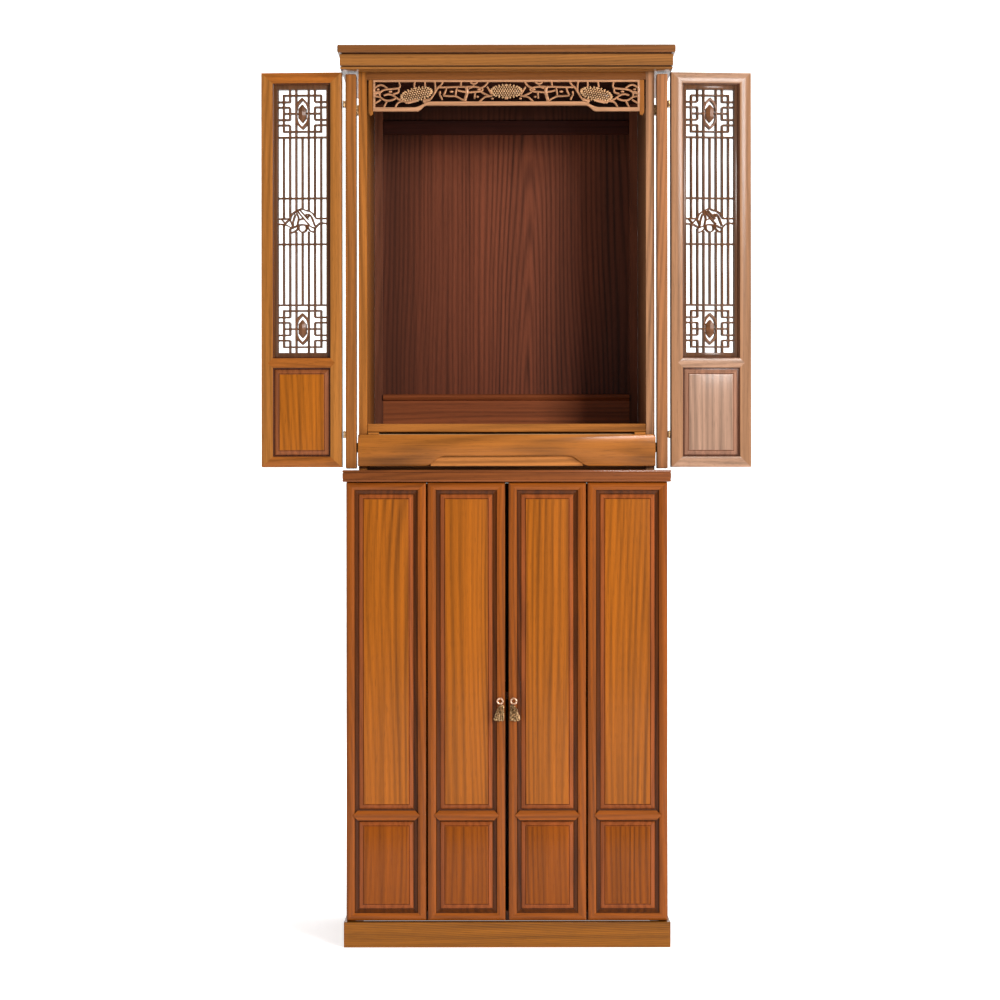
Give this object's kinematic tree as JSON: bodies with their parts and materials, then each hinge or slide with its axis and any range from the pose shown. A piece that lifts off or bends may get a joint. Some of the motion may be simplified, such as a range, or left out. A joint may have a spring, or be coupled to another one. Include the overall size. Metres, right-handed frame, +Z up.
{
  "type": "household altar cabinet",
  "caption": "Tall wooden household altar: an open altar room with a carved valance and folding lattice leaves over a drawer, on a base cupboard with folding panelled doors.",
  "frame": {"origin": "on the floor, under the middle of the whole object with its altar leaves folded open", "axes": "+Z up; -Y is the front, where the doors and the drawer are; +X is the right side seen from the front"},
  "size_m": [0.9081, 0.48, 1.6637],
  "materials": {
    "honey_wood": "satin lacquer",
    "red_wood": "satin lacquer",
    "pale_wood": "matt",
    "dark_wood": "satin lacquer",
    "bronze": "antique"
  },
  "bodies": {
    "cabinet": {"altar_back_low_rail": "dark_wood", "altar_back_panel": "dark_wood", "altar_back_strip_left": "dark_wood", "altar_back_strip_right": "dark_wood", "altar_back_top_rail": "dark_wood", "altar_ceiling": "dark_wood", "altar_floor_board": "honey_wood", "altar_header": "red_wood", "carved_valance": "pale_wood", "cornice_front_moulding": "honey_wood", "cornice_left_moulding": "honey_wood", "cornice_right_moulding": "honey_wood", "cornice_top_board": "honey_wood", "door_post_left": "honey_wood", "door_post_right": "honey_wood", "lower_back_board": "red_wood", "lower_bottom_board": "red_wood", "lower_shelf": "red_wood", "lower_side_left": "red_wood", "lower_side_right": "red_wood", "middle_board": "red_wood", "plinth_frame": "honey_wood", "post_hinge_left_lower": "bronze", "post_hinge_left_upper": "bronze", "post_hinge_right_lower": "bronze", "post_hinge_right_upper": "bronze", "upper_bottom_board": "honey_wood", "upper_side_left": "honey_wood", "upper_side_right": "honey_wood", "valance_bar_left": "honey_wood", "valance_bar_right": "honey_wood"},
    "altar_leaf_left_outer": {"altar_leaf_left_outer_frame": "honey_wood", "altar_leaf_left_outer_panel": "honey_wood", "altar_leaf_left_outer_lattice": "dark_wood"},
    "altar_leaf_left_inner": {"altar_leaf_left_inner_frame": "honey_wood", "altar_leaf_left_inner_panel": "honey_wood", "altar_leaf_left_inner_lattice": "dark_wood"},
    "altar_leaf_right_outer": {"altar_leaf_right_outer_frame": "honey_wood", "altar_leaf_right_outer_panel": "honey_wood", "altar_leaf_right_outer_lattice": "dark_wood"},
    "altar_leaf_right_inner": {"altar_leaf_right_inner_frame": "honey_wood", "altar_leaf_right_inner_panel": "honey_wood", "altar_leaf_right_inner_lattice": "dark_wood"},
    "lower_door_left_outer": {"lower_door_left_outer_frame": "red_wood", "lower_door_left_outer_low_panel": "red_wood", "lower_door_left_outer_high_panel": "red_wood"},
    "lower_door_left_inner": {"lower_door_left_inner_frame": "red_wood", "lower_door_left_inner_low_panel": "red_wood", "lower_door_left_inner_high_panel": "red_wood", "door_pull_left": "bronze"},
    "lower_door_right_outer": {"lower_door_right_outer_frame": "red_wood", "lower_door_right_outer_low_panel": "red_wood", "lower_door_right_outer_high_panel": "red_wood"},
    "lower_door_right_inner": {"lower_door_right_inner_frame": "red_wood", "lower_door_right_inner_low_panel": "red_wood", "lower_door_right_inner_high_panel": "red_wood", "door_pull_right": "bronze"},
    "drawer": {"drawer_front": "honey_wood", "drawer_tray": "pale_wood"}
  },
  "joints": [
    {"name": "altar_leaf_left_swing", "type": "hinge", "parent": "cabinet", "child": "altar_leaf_left_outer", "pos_m": [-0.3006, -0.21025, 1.25], "axis": [0, 0, -1], "range_deg": [-184, 0]},
    {"name": "altar_leaf_left_fold", "type": "hinge", "parent": "altar_leaf_left_outer", "child": "altar_leaf_left_inner", "pos_m": [-0.45339, -0.17902, 1.25], "axis": [0, 0, -1], "range_deg": [-180, 0]},
    {"name": "lower_door_left_swing", "type": "hinge", "parent": "cabinet", "child": "lower_door_left_outer", "pos_m": [-0.2989, -0.21025, 0.45], "axis": [0, 0, -1], "range_deg": [0, 180]},
    {"name": "lower_door_left_fold", "type": "hinge", "parent": "lower_door_left_outer", "child": "lower_door_left_inner", "pos_m": [-0.1476, -0.23075, 0.45], "axis": [0, 0, -1], "range_deg": [0, 170]},
    {"name": "altar_leaf_right_swing", "type": "hinge", "parent": "cabinet", "child": "altar_leaf_right_outer", "pos_m": [0.3006, -0.21025, 1.25], "axis": [0, 0, 1], "range_deg": [-186.5, 0]},
    {"name": "altar_leaf_right_fold", "type": "hinge", "parent": "altar_leaf_right_outer", "child": "altar_leaf_right_inner", "pos_m": [0.45189, -0.17238, 1.25], "axis": [0, 0, 1], "range_deg": [-180, 0]},
    {"name": "lower_door_right_swing", "type": "hinge", "parent": "cabinet", "child": "lower_door_right_outer", "pos_m": [0.2989, -0.21025, 0.45], "axis": [0, 0, 1], "range_deg": [0, 180]},
    {"name": "lower_door_right_fold", "type": "hinge", "parent": "lower_door_right_outer", "child": "lower_door_right_inner", "pos_m": [0.1476, -0.23075, 0.45], "axis": [0, 0, 1], "range_deg": [0, 170]},
    {"name": "drawer_slide", "type": "slide", "parent": "cabinet", "child": "drawer", "axis": [0, -1, 0], "range_m": [0, 0.25]}
  ]
}
